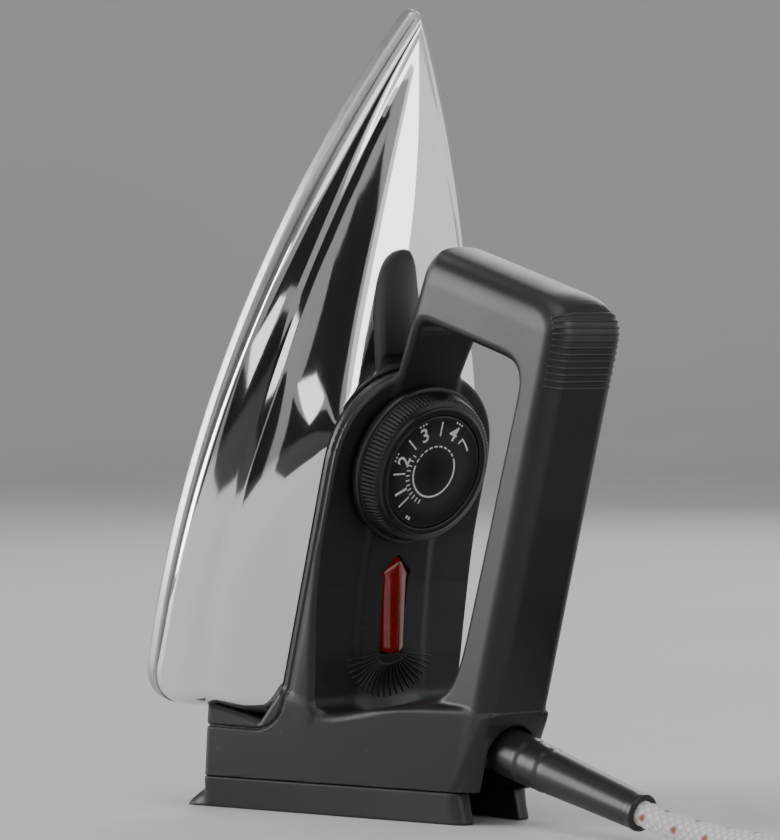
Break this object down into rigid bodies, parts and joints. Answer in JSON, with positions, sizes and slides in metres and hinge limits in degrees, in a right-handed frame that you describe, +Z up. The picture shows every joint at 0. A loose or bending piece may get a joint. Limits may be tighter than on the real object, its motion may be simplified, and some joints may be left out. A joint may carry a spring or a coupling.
{
  "type": "clothes iron",
  "caption": "Dry clothes iron with a chrome shell, black closed-loop handle and swivelling braided cord, standing on its heel with its sole upright.",
  "frame": {"origin": "centre of the iron's footprint at the level of the surface that its heel stands on, measured without the cord and its strain relief", "axes": "+Z up towards the soleplate's tip, +X from the sole towards the handle's grip, Y across the iron"},
  "size_m": [0.302, 0.1392, 0.2277],
  "materials": {
    "sole_aluminium": "satin, as cast on the edge and ground on the face",
    "element_sheath": "dull",
    "terminal_brass": "satin",
    "zinc_steel": "zinc plated",
    "shell_chrome": "mirror",
    "gasket_black": "matte",
    "handle_black": "satin",
    "ceramic_ivory": "glazed",
    "bimetal_strip": "satin",
    "blade_bronze": "satin",
    "dial_black": "satin",
    "dial_face": "satin with pale printed marks",
    "lens_red": "clear red, glossy",
    "lamp_glass": "clear",
    "resistor_tan": "matte",
    "lead_brown": "matte",
    "lead_blue": "matte",
    "lead_green": "matte",
    "core_tan": "matte",
    "guard_rubber": "matte",
    "cord_braid": "woven, pale with red-brown flecks",
    "plug_black": "satin"
  },
  "bodies": {
    "housing": {"soleplate": "sole_aluminium", "heating_element": "element_sheath", "element_terminals": "terminal_brass", "cover_plate": "zinc_steel", "shell_studs": "zinc_steel", "stud_nuts": "zinc_steel", "chrome_shell": "shell_chrome", "saddle_gasket": "gasket_black", "handle_body": "handle_black", "handle_screws": "zinc_steel", "heel_cap": "handle_black", "heel_cap_screws": "zinc_steel", "thermostat_bracket": "zinc_steel", "thermostat_insulators": "ceramic_ivory", "thermostat_bimetal": "bimetal_strip", "thermostat_fixed_blade": "blade_bronze", "thermostat_rivet": "zinc_steel", "thermostat_bush": "terminal_brass", "pilot_lens": "lens_red", "pilot_lamp": "lamp_glass", "lamp_holder": "zinc_steel", "lamp_resistor": "resistor_tan", "thermal_fuse": "ceramic_ivory", "terminal_block": "ceramic_ivory", "terminal_screws": "terminal_brass", "live_lead": "lead_brown", "neutral_lead": "lead_blue", "earth_lead": "lead_green", "cord_clamp": "handle_black", "cord_clamp_screws": "zinc_steel", "cord_cores": "core_tan", "cord_inner": "cord_braid", "cord_tube": "cord_braid", "cord_coil": "cord_braid", "cord_tie": "guard_rubber", "cord_tail": "cord_braid", "plug_body": "plug_black", "plug_pins": "terminal_brass"},
    "dial": {"dial_knob": "dial_black", "dial_cap": "dial_face", "thermostat_spindle": "zinc_steel"},
    "contact_arm": {"thermostat_moving_blade": "blade_bronze"},
    "cord_swivel": {"cord_pivot": "guard_rubber", "cord_guard": "guard_rubber", "cord_in_guard": "cord_braid"}
  },
  "joints": [
    {"name": "dial_turn", "type": "hinge", "parent": "housing", "child": "dial", "pos_m": [0.00076, 0, 0.09634], "axis": [0.9613, 0, -0.2756], "range_deg": [0, 230]},
    {"name": "contact_flex", "type": "hinge", "parent": "housing", "child": "contact_arm", "pos_m": [-0.02104, 0, 0.11591], "axis": [0, 1, 0], "range_deg": [0, 2.5]},
    {"name": "cord_swing", "type": "hinge", "parent": "housing", "child": "cord_swivel", "pos_m": [0.02322, 0, 0.02228], "axis": [0, 1, 0], "range_deg": [0, 75], "deforming": ["cord_tube"]}
  ],
  "couplings": [
    {"joint": "contact_flex", "follows": "dial_turn", "ratio": 0.01}
  ]
}
